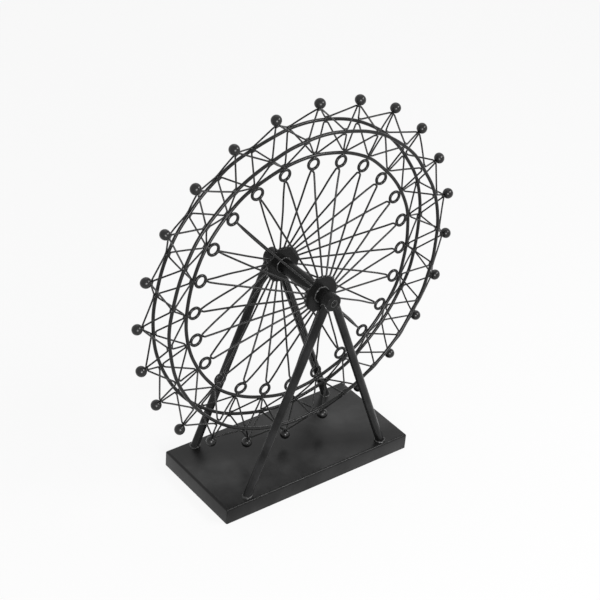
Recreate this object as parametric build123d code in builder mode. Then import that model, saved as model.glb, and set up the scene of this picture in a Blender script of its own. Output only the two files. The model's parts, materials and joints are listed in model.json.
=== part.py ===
"""Table-top Ferris wheel of welded steel wire that turns by hand between two A-frames.

Millimetres. +Z is up, X runs along the long side of the base and the wheel's axle lies
along Y. The origin is the centre of the base's footprint, on the surface it stands on.
The front is the side at -Y.
"""

from build123d import *

import os
from math import atan2, cos, pi, radians, sin, sqrt, tan

# ---- Stand ------------------------------------------------------------------------------
base_length = 214.0
base_width = 103.0
base_height = 16.5
sheet_thickness = 1.2
fold_inside_radius = 0.6

leg_diameter = 8.0
leg_end_inset = 28.0  # from the base's short end to the middle of a foot
leg_side_inset = 8.0  # from the base's long side to the middle of a foot
cope_margin = 0.5  # how far a leg's outer side stays inside the bearing's outline
bead_width = 1.5  # of the weld around a foot
bead_height = 1.8

bearing_diameter = 16.0
bearing_length = 10.0

axle_diameter = 6.0
axle_stand_out = 1.8  # past the outer end of a bearing
axle_chamfer = 1.0

# ---- Wheel ------------------------------------------------------------------------------
station_count = 24  # balls, eyelets and spokes, one of each at every station
rest_angle = 1.7  # how far the first station is turned from the vertical, in degrees
ground_clearance = 8.5  # from the base's top to the lowest ball

hoop_radius = 150.5  # of the two outer hoops, to the middle of the wire
hoop_spacing = 26.0  # between the two outer hoops
rim_depth = 25.5  # from an outer hoop inward to the inner hoop
ball_rise = 24.0  # from an outer hoop outward to the middle of a ball
hoop_wire = 3.2
truss_wire = 1.6
spoke_wire = 1.8

ball_diameter = 10.0
eyelet_diameter = 13.4
eyelet_wire = 2.8
truss_turn_length = 4.2  # of the straight piece between the two bends of a turn
spoke_turn_width = 4.0  # between the two legs of a spoke at its tip

hub_diameter = 14.0
flange_diameter = 35.0
flange_thickness = 3.5
flange_inset = 8.0  # from an end of the hub tube to the outer face of a flange

# ---- Fits -------------------------------------------------------------------------------
weld_gap = 0.05  # between pieces that are welded together
running_clearance = 0.05  # radial, of the hub on its axle
end_play = 0.25  # of the hub between the bearings, at each end

# ---- Flat sides of the pieces that repeat -------------------------------------------------
hoop_side_count = 3 * station_count  # along a hoop
hoop_wire_side_count = 6  # around its wire
eyelet_side_count = 8
ball_side_count = 8
thin_wire_side_count = 4  # around the wire of the truss, the spokes and the eyelets

# ---- Places that follow from the sizes ---------------------------------------------------
truss_wire_radius = truss_wire / 2
spoke_wire_radius = spoke_wire / 2
ball_radius = ball_diameter / 2
station_pitch = 360 / station_count
ball_circle_radius = hoop_radius + ball_rise
inner_hoop_radius = hoop_radius - rim_depth
axle_height = base_height + ground_clearance + ball_circle_radius + ball_radius
axle_centre = Vector(0, 0, axle_height)
axle_axis = Axis(axle_centre, (0, 1, 0))

frame_y = base_width / 2 - leg_side_inset  # middle plane of an A-frame
foot_x = base_length / 2 - leg_end_inset
leg_top_x = (bearing_diameter - leg_diameter) / 2 - cope_margin
hub_end_y = frame_y - bearing_length / 2 - end_play
flange_y = hub_end_y - flange_inset - flange_thickness / 2
axle_bore_radius = axle_diameter / 2 + running_clearance

eyelet_circle_radius = inner_hoop_radius - hoop_wire / 2 - weld_gap - eyelet_diameter / 2
spoke_tip_radius = eyelet_circle_radius - eyelet_diameter / 2 - weld_gap - spoke_wire_radius

# The wheel's own plane: X outward to the right, Y up, Z along the axle to the front
wheel_plane = Plane(origin=axle_centre, x_dir=(1, 0, 0), z_dir=(0, -1, 0))
# The half plane that the round pieces are drawn on: X outward, Y along the axle to the back
section_plane = Plane(origin=axle_centre, x_dir=(1, 0, 0), z_dir=(0, 0, 1))

SIDES = {"front": -1, "back": 1}  # the sign of Y
HANDS = {"left": -1, "right": 1}  # the sign of X

os.makedirs("parts", exist_ok=True)


def write(piece, name):
    """Labels a finished piece and writes it under the same name."""
    piece.label = name
    export_step(piece, f"parts/{name}.step")


# ---- Base: a tray folded from sheet, open underneath --------------------------------------
with BuildPart() as base:
    with BuildSketch():
        Rectangle(base_length, base_width)
    extrude(amount=base_height)
    fillet(base.faces().sort_by(Axis.Z)[-1].edges(), fold_inside_radius + sheet_thickness)
    with BuildSketch():
        Rectangle(base_length - 2 * sheet_thickness, base_width - 2 * sheet_thickness)
    extrude(amount=base_height - sheet_thickness, mode=Mode.SUBTRACT)
    ceiling = base.faces().filter_by(Axis.Z).group_by(Axis.Z)[-2]
    fillet(ceiling.edges(), fold_inside_radius)
write(base.part, "base")


# ---- Round pieces on the axle -------------------------------------------------------------
def sleeve(bore_radius, outer_radius, middle_y, length):
    """A plain tube around the axle's line."""
    with BuildPart() as tube:
        with BuildSketch(section_plane):
            with Locations((bore_radius, middle_y)):
                Rectangle(outer_radius - bore_radius, length, align=(Align.MIN, Align.CENTER))
        revolve(axis=axle_axis)
    return tube.part


with BuildPart() as axle:
    axle_length = 2 * frame_y + bearing_length + 2 * axle_stand_out
    with BuildSketch(wheel_plane):
        Circle(axle_diameter / 2)
    extrude(amount=axle_length / 2, both=True)
    chamfer(axle.faces().filter_by(Axis.Y).edges(), axle_chamfer)
write(axle.part, "axle")

write(sleeve(axle_bore_radius, hub_diameter / 2, 0, 2 * hub_end_y), "hub_tube")

for name, side in SIDES.items():
    bearing = sleeve(axle_bore_radius, bearing_diameter / 2, side * frame_y, bearing_length)
    write(bearing, f"bearing_{name}")
    hub_flange = sleeve(
        hub_diameter / 2 + weld_gap, flange_diameter / 2, side * flange_y, flange_thickness
    )
    write(hub_flange, f"hub_flange_{name}")


# ---- Legs: round bar with its weld at the foot, coped to the bearing at the top ------------
def leg(side, hand):
    foot = Vector(hand * foot_x, side * frame_y, base_height)
    top = Vector(hand * leg_top_x, side * frame_y, axle_height)
    along = (top - foot).normalized()
    floor_z = base_height + weld_gap
    radius = leg_diameter / 2
    bead_middle = foot + along * (bead_height / 2 / along.Z)
    bead_radius = radius / along.Z + bead_width
    # the bar ends beside the axle, where its own line comes nearest to it
    reach = (Vector(0, side * frame_y, axle_height) - foot).dot(along)
    with BuildPart() as bar:
        with BuildSketch(Plane(origin=foot - along * leg_diameter, z_dir=along)):
            Circle(radius)
        extrude(amount=reach + leg_diameter)
        split(bisect_by=Plane.XY.offset(floor_z), keep=Keep.TOP)
        with Locations((bead_middle.X, foot.Y, floor_z)):
            Cone(bead_radius, radius, bead_height, align=(Align.CENTER, Align.CENTER, Align.MIN))
        with BuildSketch(wheel_plane.offset(-side * frame_y)):
            Circle(bearing_diameter / 2 + weld_gap)
        extrude(amount=leg_diameter, both=True, mode=Mode.SUBTRACT)
    return bar.part


for name, side in SIDES.items():
    for hand_name, hand in HANDS.items():
        write(leg(side, hand), f"leg_{name}_{hand_name}")


# ---- Wire: every wire has flat sides and the section area of the round wire it stands for ---
def corner_radius(radius, side_count):
    """Corner radius of the polygon that has the area of a circle."""
    return radius * sqrt(2 * pi / (side_count * sin(2 * pi / side_count)))


def bent_wire(points, diameter, side_count, outward, close=False):
    """A wire along the points, with mitred corners and one flat that faces outward."""
    start = (points[0] + points[-1]) / 2 if close else points[0]
    heading = points[0] - points[-1] if close else points[1] - points[0]
    with BuildPart() as wire:
        with BuildLine():
            Polyline(*points, close=close)
        with BuildSketch(Plane(origin=start, x_dir=outward, z_dir=heading)):
            section_radius = corner_radius(diameter / 2, side_count)
            RegularPolygon(section_radius, side_count, rotation=180 / side_count)
        sweep(transition=Transition.RIGHT)
    return wire.part


def wire_ring(radius, side_count, diameter, wire_side_count):
    """A closed ring of wire around the Z axis, with a flat that faces +X."""
    corner = Vector(corner_radius(radius, side_count), 0, 0)
    step = 360 / side_count
    points = [corner.rotate(Axis.Z, step * (turn + 0.5)) for turn in range(side_count)]
    return bent_wire(points, diameter, wire_side_count, Vector(1, 0, 0), close=True)


def in_wheel(blank, z=0):
    """A blank set in the wheel's plane, turned so that its X axis meets the first station."""
    with BuildPart(wheel_plane.offset(z)) as piece:
        with PolarLocations(0, 1, start_angle=90 - rest_angle):
            add(blank)
    return piece.part


def at_stations(blank):
    """Copies of a blank drawn at a station on the X axis, one at every station."""
    with BuildPart(wheel_plane) as ring:
        with PolarLocations(0, station_count, start_angle=90 - rest_angle):
            add(blank)
    return ring.part


# ---- Hoops --------------------------------------------------------------------------------
def hoop(radius):
    return wire_ring(radius, hoop_side_count, hoop_wire, hoop_wire_side_count)


for name, side in SIDES.items():
    write(in_wheel(hoop(hoop_radius), -side * hoop_spacing / 2), f"hoop_{name}")
write(in_wheel(hoop(inner_hoop_radius)), "hoop_inner")


# ---- Truss wires: one wire bent to and fro between the stations and a hoop ------------------
def truss(tip_radius, tip_z, turn_radius, turn_z):
    """The tips are at the stations and the turns on the hoop, halfway between them."""
    half = radians(station_pitch / 2)
    outward = Vector(cos(half), sin(half), 0)
    around = Vector(-sin(half), cos(half), 0)
    turn = outward * turn_radius + Vector(0, 0, turn_z)
    rising = [
        turn,
        turn - around * (truss_turn_length / 2),
        Vector(tip_radius, truss_turn_length / 2, tip_z),
    ]
    falling = [Vector(point.X, -point.Y, point.Z) for point in reversed(rising)]
    return at_stations(bent_wire(rising + falling, truss_wire, thin_wire_side_count, outward))


# two wires lie side by side under each ball and outside the inner hoop
pair_offset = truss_wire_radius + weld_gap
ball_seat = ball_radius + truss_wire_radius + weld_gap
ball_tip_radius = ball_circle_radius - sqrt(ball_seat**2 - pair_offset**2)
hoop_seat = hoop_wire / 2 + truss_wire_radius + weld_gap

for name, side in SIDES.items():
    tip_z = -side * pair_offset
    hoop_z = -side * hoop_spacing / 2
    outer_wire = truss(ball_tip_radius, tip_z, hoop_radius + hoop_seat, hoop_z)
    write(outer_wire, f"truss_wire_outer_{name}")
    inner_wire = truss(inner_hoop_radius + hoop_seat, tip_z, hoop_radius - hoop_seat, hoop_z)
    write(inner_wire, f"truss_wire_inner_{name}")


# ---- Spokes: hairpins from the eyelets to the rims of both flanges ------------------------
half_turn = spoke_turn_width / 2
spoke_slope = atan2(flange_y - half_turn, spoke_tip_radius - flange_diameter / 2)
spoke_foot_radius = flange_diameter / 2 + weld_gap + spoke_wire_radius * sin(spoke_slope)
hairpin = bent_wire(
    [
        Vector(spoke_foot_radius, 0, flange_y),
        Vector(spoke_tip_radius, 0, half_turn),
        Vector(spoke_tip_radius, 0, -half_turn),
        Vector(spoke_foot_radius, 0, -flange_y),
    ],
    spoke_wire,
    thin_wire_side_count,
    Vector(0, 1, 0),
)
write(at_stations(hairpin), "spokes")


# ---- Eyelets: small rings welded inside the inner hoop ------------------------------------
ring_radius = (eyelet_diameter - eyelet_wire) / 2
eyelet_ring = wire_ring(ring_radius, eyelet_side_count, eyelet_wire, thin_wire_side_count)
with BuildPart() as eyelet:
    with Locations((eyelet_circle_radius, 0, 0)):
        add(eyelet_ring)
write(at_stations(eyelet.part), "eyelets")


# ---- Balls: one at every station, on the tips of the two outer truss wires ----------------
with BuildPart() as ball_blank:
    belt_radius = corner_radius(ball_radius, ball_side_count)
    apothem = belt_radius * cos(pi / ball_side_count)
    with BuildSketch():
        RegularPolygon(belt_radius, ball_side_count, rotation=180 / ball_side_count)
    extrude(amount=apothem, both=True)
    ball_ends = ball_blank.faces().filter_by(Axis.Z).edges()
    chamfer(ball_ends, apothem * (1 - tan(pi / ball_side_count)))

for station in range(station_count):
    # the stations are numbered clockwise from the top, seen from the front
    with BuildPart(wheel_plane) as ball:
        with PolarLocations(
            ball_circle_radius, 1, start_angle=90 - rest_angle - station * station_pitch
        ):
            add(ball_blank.part)
    write(ball.part, f"ball_{station + 1:02d}")
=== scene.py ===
"""Dresses the wire Ferris wheel in its finished shapes and its satin black paint.

Metres. +Z is up, X runs along the base's long side and the wheel turns about Y, with the
front at -Y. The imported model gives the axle's place and the base's box, and every piece
here stands for the solid of the same name and rides on its body.
"""

from __future__ import annotations

import json
import logging
import math
from dataclasses import dataclass, field
from enum import Enum
from typing import Iterable, Sequence

import bmesh
import bpy
from mathutils import Matrix, Vector

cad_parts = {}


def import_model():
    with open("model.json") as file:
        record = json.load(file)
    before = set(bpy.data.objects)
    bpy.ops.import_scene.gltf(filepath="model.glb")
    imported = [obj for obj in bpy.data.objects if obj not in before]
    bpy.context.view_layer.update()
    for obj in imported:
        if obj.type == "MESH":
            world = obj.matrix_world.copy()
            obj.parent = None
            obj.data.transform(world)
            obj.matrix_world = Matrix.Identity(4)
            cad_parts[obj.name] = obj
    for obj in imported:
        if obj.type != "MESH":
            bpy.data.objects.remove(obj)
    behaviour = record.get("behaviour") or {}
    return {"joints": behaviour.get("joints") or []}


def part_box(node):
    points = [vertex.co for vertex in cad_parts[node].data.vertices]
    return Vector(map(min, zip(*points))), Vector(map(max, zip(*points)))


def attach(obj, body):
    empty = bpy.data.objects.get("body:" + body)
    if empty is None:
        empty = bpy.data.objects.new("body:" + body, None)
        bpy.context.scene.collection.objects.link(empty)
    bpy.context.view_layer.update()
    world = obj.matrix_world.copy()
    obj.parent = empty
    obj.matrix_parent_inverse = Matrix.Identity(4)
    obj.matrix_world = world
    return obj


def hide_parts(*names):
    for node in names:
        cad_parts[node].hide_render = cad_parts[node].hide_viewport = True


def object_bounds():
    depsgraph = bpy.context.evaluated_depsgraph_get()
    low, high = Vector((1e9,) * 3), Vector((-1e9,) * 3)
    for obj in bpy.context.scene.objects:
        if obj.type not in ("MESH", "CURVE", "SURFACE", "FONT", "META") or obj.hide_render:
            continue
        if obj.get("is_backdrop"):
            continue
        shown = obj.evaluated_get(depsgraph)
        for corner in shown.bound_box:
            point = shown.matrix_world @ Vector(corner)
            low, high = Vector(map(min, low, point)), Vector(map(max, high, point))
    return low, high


NodeSocket = bpy.types.NodeSocket
LOG = logging.getLogger("ferris_wheel")
MM = 0.001


class Body(Enum):
    """The two bodies of the model."""

    STAND = "stand"
    WHEEL = "wheel"


class Side(Enum):
    """The front and the back of the wheel, with the sign of Y."""

    FRONT = -1
    BACK = 1

    @property
    def word(self) -> str:
        """The side's name as the nodes spell it."""
        return self.name.lower()


class Hand(Enum):
    """The left and the right of the stand, with the sign of X."""

    LEFT = -1
    RIGHT = 1

    @property
    def word(self) -> str:
        """The hand's name as the nodes spell it."""
        return self.name.lower()


class Socket(Enum):
    """Kinds of input that a Geometry Nodes tree takes here."""

    GEOMETRY = "NodeSocketGeometry"
    FLOAT = "NodeSocketFloat"
    INTEGER = "NodeSocketInt"
    MATERIAL = "NodeSocketMaterial"


# ---- Finishes ------------------------------------------------------------------------------

NOISE_SPAN = (0.3, 0.7)  # the range that holds nearly all values of a noise
EDGE_SPAN = (0.53, 0.62)  # pointiness of a flat face and of a sharp edge
EDGE_WEAR_AND_SHEEN_SHARE = 0.6  # how far a sharp edge is lightened, partly as wear and partly as a painted highlight
GLOSS_FINENESS = 1.7  # changes of gloss to one patch of thin coat
RIPPLES_PER_NIB = 6
NIB_REACH = 0.05  # of the spacing from nib to nib
NIB_HEIGHT = 2.0  # in ripples of orange peel
BUMP_STRENGTH = 0.6
PATCH_DETAIL, GLOSS_DETAIL, PEEL_DETAIL = 4.0, 5.0, 2.0  # octaves of finer noise


class ShaderNodes:
    """The shader nodes of a material or a world under construction."""

    def __init__(self, owner: bpy.types.Material | bpy.types.World) -> None:
        """Turns on the owner's nodes.

        Args:
            owner: The material or the world that holds the nodes.
        """
        owner.use_nodes = True
        self.nodes = owner.node_tree.nodes
        self.links = owner.node_tree.links

    def math(
        self, operation: str, first: NodeSocket, second: NodeSocket | float, clamp: bool = False
    ) -> NodeSocket:
        """Two values joined by a Math node.

        Args:
            operation: The node's operation.
            first: The first value's socket.
            second: The second value or its socket.
            clamp: Whether the result is kept between 0 and 1.

        Returns:
            The result's socket.
        """
        node = self.nodes.new("ShaderNodeMath")
        node.operation, node.use_clamp = operation, clamp
        self.links.new(first, node.inputs[0])
        if isinstance(second, NodeSocket):
            self.links.new(second, node.inputs[1])
        else:
            node.inputs[1].default_value = second
        return node.outputs[0]

    def stretch(
        self, source: NodeSocket, span: tuple[float, float], low: float, high: float
    ) -> NodeSocket:
        """A value mapped from one range to another and clamped.

        Args:
            source: The value to map.
            span: The source values that become low and high.
            low: The result at the span's start.
            high: The result at its end.

        Returns:
            The mapped value's socket.
        """
        remap = self.nodes.new("ShaderNodeMapRange")
        limits = zip(("From Min", "From Max", "To Min", "To Max"), (*span, low, high))
        for label, value in limits:
            remap.inputs[label].default_value = value
        self.links.new(source, remap.inputs["Value"])
        return remap.outputs["Result"]

    def rays(self, *kinds: str) -> NodeSocket:
        """Tells rays of some kinds from all others.

        Args:
            kinds: The Light Path outputs for the wanted kinds.

        Returns:
            The socket that is 1 for the wanted rays and 0 for the rest.
        """
        path = self.nodes.new("ShaderNodeLightPath").outputs
        share = path[kinds[0]]
        for kind in kinds[1:]:
            share = self.math("ADD", share, path[kind], clamp=True)
        return share


class PaintNodes(ShaderNodes):
    """A paint's material under construction, on the piece's own coordinates."""

    def __init__(self, name: str) -> None:
        """Starts a material with a Principled shader.

        Args:
            name: The material's name.
        """
        self.material = bpy.data.materials.new(name)
        super().__init__(self.material)
        self.shader = self.nodes["Principled BSDF"]
        self.place = self.nodes.new("ShaderNodeTexCoord").outputs["Object"]

    def noise(self, scale: float, detail: float, low: float, high: float) -> NodeSocket:
        """Noise stretched to run between two values.

        Args:
            scale: Features per metre.
            detail: Octaves of finer noise.
            low: The value at the noise's low end.
            high: The value at its high end.

        Returns:
            The stretched value's socket.
        """
        noise = self.nodes.new("ShaderNodeTexNoise")
        noise.inputs["Scale"].default_value = scale
        noise.inputs["Detail"].default_value = detail
        self.links.new(self.place, noise.inputs["Vector"])
        return self.stretch(noise.outputs["Fac"], NOISE_SPAN, low, high)

    def mix(
        self, factor: NodeSocket, first: Sequence[float] | NodeSocket, second: Sequence[float]
    ) -> NodeSocket:
        """Two colours mixed by a factor.

        Args:
            factor: The share of the second colour.
            first: The first colour or its socket.
            second: The second colour.

        Returns:
            The mixed colour's socket.
        """
        node = self.nodes.new("ShaderNodeMix")
        node.data_type = "RGBA"
        self.links.new(factor, node.inputs["Factor"])
        first_colour, second_colour = node.inputs[6], node.inputs[7]
        if isinstance(first, NodeSocket):
            self.links.new(first, first_colour)
        else:
            first_colour.default_value = (*first, 1)
        second_colour.default_value = (*second, 1)
        return node.outputs[2]


@dataclass(frozen=True)
class BlackPaint:
    """Satin black paint on steel: a slightly uneven coat with orange peel, nibs, and thin edges
    lightened partly as wear from rubbing and partly as a painted highlight.

    Attributes:
        name: The material's name.
        slot: The record's material slot.
        dark: Colour where the coat is full.
        worn: Colour where the coat is thin or dusty.
        edge: Colour of a sharp edge, partly wear from rubbing and partly a painted highlight.
        gloss: Lowest and highest roughness over the surface.
        peel: Depth of the orange peel, in metres.
        peel_scale: Ripples of the orange peel per metre.
        patch_scale: Patches of thin coat per metre.
        specular: The coat's specular level.
    """

    name: str
    slot: str
    dark: tuple[float, float, float]
    worn: tuple[float, float, float]
    edge: tuple[float, float, float]
    gloss: tuple[float, float]
    peel: float
    peel_scale: float
    patch_scale: float
    specular: float

    def material(self) -> bpy.types.Material:
        """Builds the paint's material.

        Returns:
            The finished material.
        """
        tree = PaintNodes(self.name)
        shader, nodes, links = tree.shader, tree.nodes, tree.links
        shader.inputs["Specular IOR Level"].default_value = self.specular

        patches = tree.noise(self.patch_scale, PATCH_DETAIL, 0.0, 1.0)
        # Sharp edges are lightened towards the edge colour: partly wear from rubbing, partly a
        # painted highlight.
        pointed = nodes.new("ShaderNodeNewGeometry").outputs["Pointiness"]
        edges = tree.stretch(pointed, EDGE_SPAN, 0.0, EDGE_WEAR_AND_SHEEN_SHARE)
        edge_wear_and_sheen = tree.math("MULTIPLY", edges, patches)
        colour = tree.mix(edge_wear_and_sheen, tree.mix(patches, self.dark, self.worn), self.edge)
        links.new(colour, shader.inputs["Base Color"])
        gloss_scale = self.patch_scale * GLOSS_FINENESS
        roughness = tree.noise(gloss_scale, GLOSS_DETAIL, *self.gloss)
        links.new(roughness, shader.inputs["Roughness"])

        cells = nodes.new("ShaderNodeTexVoronoi")
        cells.inputs["Scale"].default_value = self.peel_scale / RIPPLES_PER_NIB
        links.new(tree.place, cells.inputs["Vector"])
        nibs = tree.stretch(cells.outputs["Distance"], (0.0, NIB_REACH), NIB_HEIGHT, 0.0)
        ripples = tree.noise(self.peel_scale, PEEL_DETAIL, 0.0, 1.0)
        height = tree.math("ADD", ripples, nibs)
        bump = nodes.new("ShaderNodeBump")
        bump.inputs["Strength"].default_value = BUMP_STRENGTH
        bump.inputs["Distance"].default_value = self.peel
        links.new(height, bump.inputs["Height"])
        links.new(bump.outputs["Normal"], shader.inputs["Normal"])
        return tree.material


# Each paint's edge colour lightens its sharp edges, partly as wear from rubbing and partly as a
# painted highlight.
SHEET_PAINT = BlackPaint(
    name="sheet_paint",
    slot="base_sheet",
    dark=(0.002, 0.002, 0.0021),
    worn=(0.007, 0.007, 0.0071),
    edge=(0.06, 0.06, 0.06),
    gloss=(0.28, 0.38),
    peel=0.01 * MM,
    peel_scale=900.0,
    patch_scale=28.0,
    specular=0.22,
)
BAR_PAINT = BlackPaint(
    name="bar_paint",
    slot="bar",
    dark=(0.004, 0.004, 0.004),
    worn=(0.008, 0.008, 0.008),
    edge=(0.045, 0.045, 0.046),
    gloss=(0.2, 0.28),
    peel=0.012 * MM,
    peel_scale=1100.0,
    patch_scale=45.0,
    specular=0.14,
)
WIRE_PAINT = BlackPaint(
    name="wire_paint",
    slot="wire",
    dark=(0.003, 0.003, 0.003),
    worn=(0.007, 0.007, 0.007),
    edge=(0.03, 0.03, 0.03),
    gloss=(0.18, 0.28),
    peel=0.006 * MM,
    peel_scale=1600.0,
    patch_scale=60.0,
    specular=0.32,
)
WELD_PAINT = BlackPaint(
    name="weld_paint",
    slot="wire",
    dark=(0.008, 0.008, 0.008),
    worn=(0.016, 0.016, 0.016),
    edge=(0.05, 0.05, 0.05),
    gloss=(0.15, 0.3),
    peel=0.05 * MM,
    peel_scale=1400.0,
    patch_scale=120.0,
    specular=0.6,
)
BALL_PAINT = BlackPaint(
    name="ball_paint",
    slot="ball",
    dark=(0.003, 0.003, 0.003),
    worn=(0.006, 0.006, 0.006),
    edge=(0.03, 0.03, 0.03),
    gloss=(0.2, 0.3),
    peel=0.004 * MM,
    peel_scale=900.0,
    patch_scale=90.0,
    specular=0.4,
)


# ---- Geometry Nodes ------------------------------------------------------------------------

BEND_WAVES = 17.0  # waves of the hand-bent unevenness per metre
CALM_RADIUS = 30 * MM  # up to here from the axle nothing strays
WAVY_RADIUS = 100 * MM  # from here on the wires stray most
STEP_LENGTH = 8 * MM  # of a straight wire's parts
LUMP_STRETCH = (0.8, 1.25)
LUMP_WAVES = 700.0  # per metre
LUMP_DETAIL = 2.0
LUMP_LEVEL = 2  # which gives a lump 80 faces
BEAD_WAVES = (130.0, 480.0)  # coarse and fine, per metre
BEAD_SIDES = 12


class GeometryTree:
    """A Geometry Nodes tree under construction, with named inputs."""

    def __init__(self, name: str, inputs: dict[str, Socket]) -> None:
        """Starts a tree with one geometry output.

        Args:
            name: The tree's name.
            inputs: Kind of each input by its name, the first being the geometry.
        """
        self.tree = bpy.data.node_groups.new(name, "GeometryNodeTree")
        face = self.tree.interface
        for label, kind in inputs.items():
            face.new_socket(label, in_out="INPUT", socket_type=kind.value)
        face.new_socket("Geometry", in_out="OUTPUT", socket_type=Socket.GEOMETRY.value)
        self.given = self.tree.nodes.new("NodeGroupInput").outputs
        self.result = self.tree.nodes.new("NodeGroupOutput").inputs["Geometry"]

    def node(
        self, kind: str, inputs: dict[str | int, object] | None = None, **settings: object
    ) -> bpy.types.Node:
        """Adds a node.

        Args:
            kind: Blender's name for the node type.
            inputs: The socket or the constant for each named or numbered input.
            settings: Properties of the node itself.

        Returns:
            The new node.
        """
        node = self.tree.nodes.new(kind)
        for label, value in settings.items():
            setattr(node, label, value)
        for label, value in (inputs or {}).items():
            if isinstance(value, NodeSocket):
                self.tree.links.new(value, node.inputs[label])
            else:
                node.inputs[label].default_value = value
        return node

    def field(self, word: str) -> NodeSocket:
        """The field of an input node, such as Position, Normal or Index."""
        return self.node(f"GeometryNodeInput{word}").outputs[0]

    def math(self, operation: str, first: NodeSocket, second: NodeSocket | float) -> NodeSocket:
        """The result of a Math node on two numbers."""
        return self.node("ShaderNodeMath", {0: first, 1: second}, operation=operation).outputs[0]

    def vector(
        self, operation: str, inputs: dict[str | int, object], result: str = "Vector"
    ) -> NodeSocket:
        """One output of a Vector Math node."""
        return self.node("ShaderNodeVectorMath", inputs, operation=operation).outputs[result]

    def random(self, low: float, high: float) -> NodeSocket:
        """A random vector at every point, drawn with the tree's input Seed."""
        inputs = {"Seed": self.given["Seed"], 0: (low,) * 3, 1: (high,) * 3}
        return self.node("FunctionNodeRandomValue", inputs, data_type="FLOAT_VECTOR").outputs[0]

    def realized(self, geometry: NodeSocket) -> NodeSocket:
        """A geometry with its instances made real."""
        return self.node("GeometryNodeRealizeInstances", {"Geometry": geometry}).outputs[0]

    def moved(self, geometry: NodeSocket, offset: NodeSocket) -> NodeSocket:
        """A geometry whose points are moved by an offset."""
        inputs = {"Geometry": geometry, "Offset": offset}
        return self.node("GeometryNodeSetPosition", inputs).outputs[0]

    def swollen(self, mesh: NodeSocket, height: NodeSocket) -> NodeSocket:
        """A mesh whose points are moved along its normals."""
        offset = self.vector("SCALE", {0: self.field("Normal"), "Scale": height})
        return self.moved(mesh, offset)

    def tube(
        self,
        curve: NodeSocket,
        radius: NodeSocket,
        sides: NodeSocket | int,
        caps: bool = False,
    ) -> NodeSocket:
        """A round tube along a curve.

        Args:
            curve: The tube's middle line.
            radius: Its radius.
            sides: Sides of its section.
            caps: Whether its ends are closed.

        Returns:
            The tube's mesh.
        """
        circle = self.node(
            "GeometryNodeCurvePrimitiveCircle", {"Resolution": sides, "Radius": radius}
        )
        inputs = {"Curve": curve, "Profile Curve": circle.outputs[0], "Fill Caps": caps}
        return self.node("GeometryNodeCurveToMesh", inputs).outputs[0]

    def finish(self, geometry: NodeSocket) -> bpy.types.NodeTree:
        """Smooths the faces, realizes the instances and sets the material.

        Args:
            geometry: The geometry to finish.

        Returns:
            The finished tree.
        """
        smooth = self.node("GeometryNodeSetShadeSmooth", {"Geometry": geometry})
        inputs = {"Geometry": self.realized(smooth.outputs[0]), "Material": self.given["Material"]}
        painted = self.node("GeometryNodeSetMaterial", inputs)
        self.tree.links.new(painted.outputs[0], self.result)
        return self.tree


def hand_bent(tree: GeometryTree, geometry: NodeSocket) -> NodeSocket:
    """A geometry moved a little by a smooth noise that fades out towards the axle.

    Args:
        tree: The tree that holds the nodes, with the input Wobble.
        geometry: What is moved, measured from the axle's middle.

    Returns:
        The moved geometry.
    """
    place = tree.field("Position")
    noise = tree.node("ShaderNodeTexNoise", {"Vector": place, "Scale": BEND_WAVES, "Detail": 1.0})
    centred = tree.vector("SUBTRACT", {0: noise.outputs["Color"], 1: (0.5, 0.5, 0.5)})
    outward = tree.vector("MULTIPLY", {0: place, 1: (1.0, 0.0, 1.0)})
    amount = tree.node(
        "ShaderNodeMapRange",
        {
            "Value": tree.vector("LENGTH", {0: outward}, "Value"),
            "From Min": CALM_RADIUS,
            "From Max": WAVY_RADIUS,
            "To Max": tree.given["Wobble"],
        },
    )
    offset = tree.vector("SCALE", {0: centred, "Scale": amount.outputs["Result"]})
    return tree.moved(geometry, offset)


def turned_copies(tree: GeometryTree, geometry: NodeSocket) -> NodeSocket:
    """Copies of a geometry turned evenly about the axle, which is the Y axis here.

    Args:
        tree: The tree that holds the nodes, with the integer input Count.
        geometry: What is copied.

    Returns:
        The copies, made real.
    """
    count = tree.given["Count"]
    turn = tree.math("MULTIPLY", tree.math("DIVIDE", tree.field("Index"), count), math.tau)
    placed = tree.node(
        "GeometryNodeInstanceOnPoints",
        {
            "Points": tree.node("GeometryNodePoints", {"Count": count}).outputs[0],
            "Instance": geometry,
            "Rotation": tree.node("ShaderNodeCombineXYZ", {"Y": turn}).outputs[0],
        },
    )
    return tree.realized(placed.outputs[0])


def wire_tree() -> bpy.types.NodeTree:
    """Round wire along a path of edges, with rounded bends, copied around the axle.

    Returns:
        The tree, with inputs for the wire's radius, its bends, sides and copies.
    """
    tree = GeometryTree(
        "bent_wire",
        {
            "Path": Socket.GEOMETRY,
            "Wire Radius": Socket.FLOAT,
            "Bend Radius": Socket.FLOAT,
            "Bend Steps": Socket.INTEGER,
            "Sides": Socket.INTEGER,
            "Count": Socket.INTEGER,
            "Wobble": Socket.FLOAT,
            "Material": Socket.MATERIAL,
        },
    )
    path = tree.node("GeometryNodeMeshToCurve", {0: tree.given["Path"]})
    bent = tree.node(
        "GeometryNodeFilletCurve",
        {
            "Curve": path.outputs[0],
            "Count": tree.given["Bend Steps"],
            "Radius": tree.given["Bend Radius"],
            "Limit Radius": True,
        },
        mode="POLY",
    )
    place = tree.field("Position")
    following = tree.node("GeometryNodeOffsetPointInCurve", {"Offset": 1})
    next_place = tree.node(
        "GeometryNodeFieldAtIndex",
        {"Index": following.outputs["Point Index"], "Value": place},
        data_type="FLOAT_VECTOR",
    )
    run = tree.vector("DISTANCE", {0: place, 1: next_place.outputs[0]}, "Value")
    divided = tree.node(
        "GeometryNodeSubdivideCurve",
        {"Curve": bent.outputs[0], "Cuts": tree.math("DIVIDE", run, STEP_LENGTH)},
    )
    line = hand_bent(tree, turned_copies(tree, divided.outputs[0]))
    return tree.finish(tree.tube(line, tree.given["Wire Radius"], tree.given["Sides"], True))


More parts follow.
